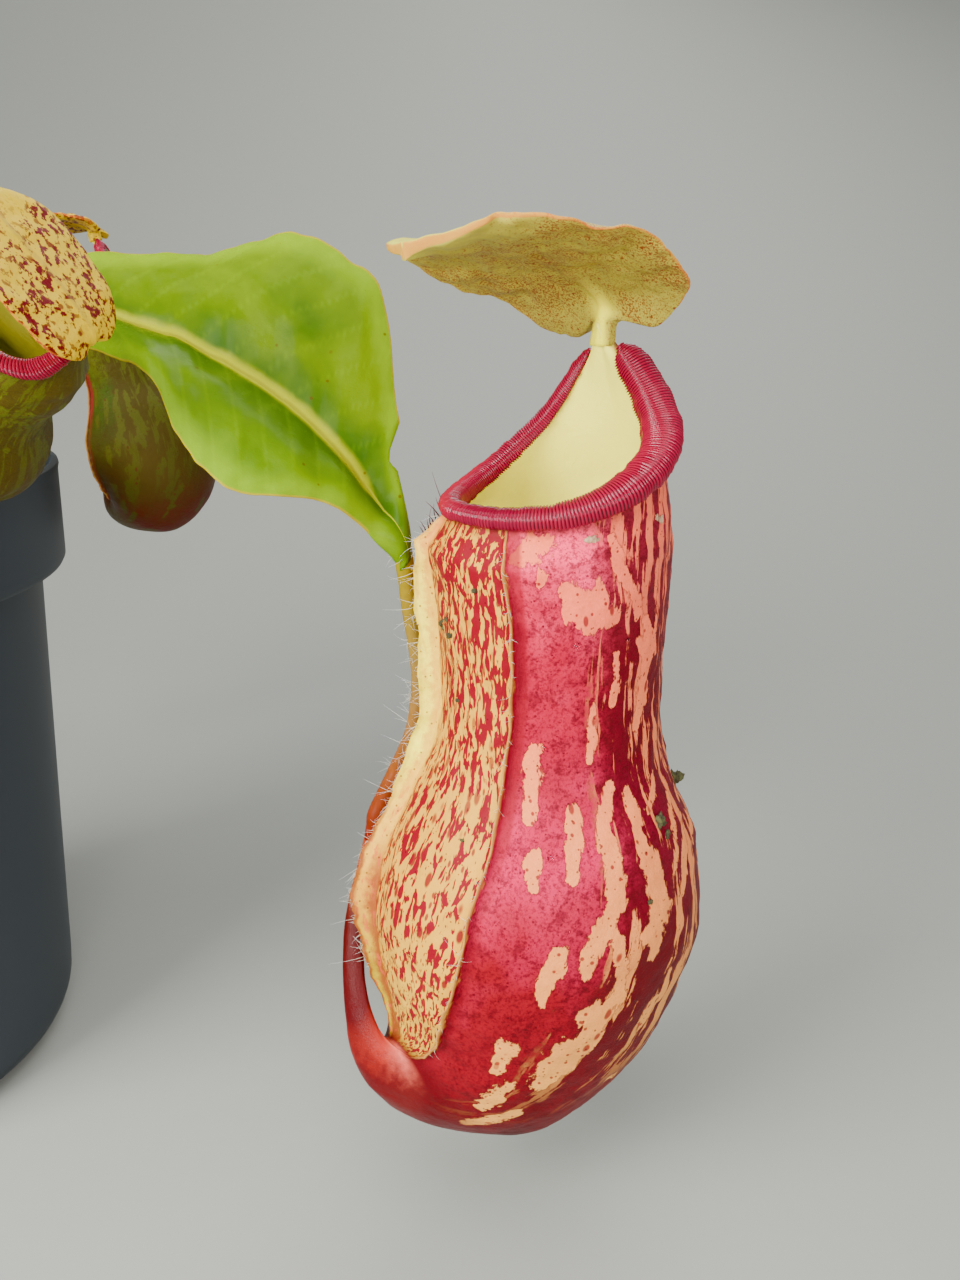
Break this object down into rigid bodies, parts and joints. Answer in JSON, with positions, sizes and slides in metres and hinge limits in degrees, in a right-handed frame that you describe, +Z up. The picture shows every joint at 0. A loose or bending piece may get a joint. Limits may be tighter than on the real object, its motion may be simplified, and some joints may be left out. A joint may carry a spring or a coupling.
{
  "type": "potted nepenthes gaya",
  "caption": "Young Nepenthes gaya pitcher plant in a round nursery pot, with arching leaves whose tendrils carry crimson and olive pitchers with ribbed mouths and lids.",
  "frame": {"origin": "middle of the pot's flat underside, on the surface it stands on", "axes": "+Z is up along the pot's axis; +X points to the side on which the largest leaf and pitcher hang; the picture looks about along +Y"},
  "size_m": [0.2568, 0.1559, 0.1383],
  "materials": {
    "pot_plastic": "dark blue-grey moulded plastic, satin",
    "medium": "damp bark and moss crumbs, matt; wood stands in for it",
    "stem_skin": "green-brown waxy stem; leather stands in for plant tissue",
    "leaf_skin": "glossy yellow-green leaf with a pale midrib; leather stands in for plant tissue",
    "red_pitcher": "crimson pitcher wall with cream blotches and flecks; leather stands in for plant tissue",
    "olive_pitcher": "olive pitcher wall with red-brown flush; leather stands in for plant tissue",
    "peristome_skin": "glossy crimson ribbed mouth roll; leather stands in for plant tissue",
    "lid_skin": "yellow-olive lid with fine red-brown flecks; leather stands in for plant tissue",
    "bud_skin": "yellow-green closed pitcher, hairy; leather stands in for plant tissue"
  },
  "bodies": {
    "root": {"pot": "pot_plastic", "growing_medium": "medium", "stem": "stem_skin", "rolled_leaf": "leaf_skin", "leaf_1": "leaf_skin", "leaf_2": "leaf_skin", "leaf_3": "leaf_skin", "leaf_4": "leaf_skin", "leaf_5": "leaf_skin", "leaf_6": "leaf_skin", "pitcher_1_cup": "red_pitcher", "pitcher_1_peristome": "peristome_skin", "pitcher_1_lid": "lid_skin", "pitcher_2_cup": "olive_pitcher", "pitcher_2_peristome": "peristome_skin", "pitcher_2_lid": "lid_skin", "pitcher_3_cup": "olive_pitcher", "pitcher_3_peristome": "peristome_skin", "pitcher_3_lid": "lid_skin", "pitcher_4_cup": "red_pitcher", "pitcher_4_peristome": "peristome_skin", "pitcher_4_lid": "lid_skin", "pitcher_5_bud": "bud_skin"}
  },
  "joints": []
}
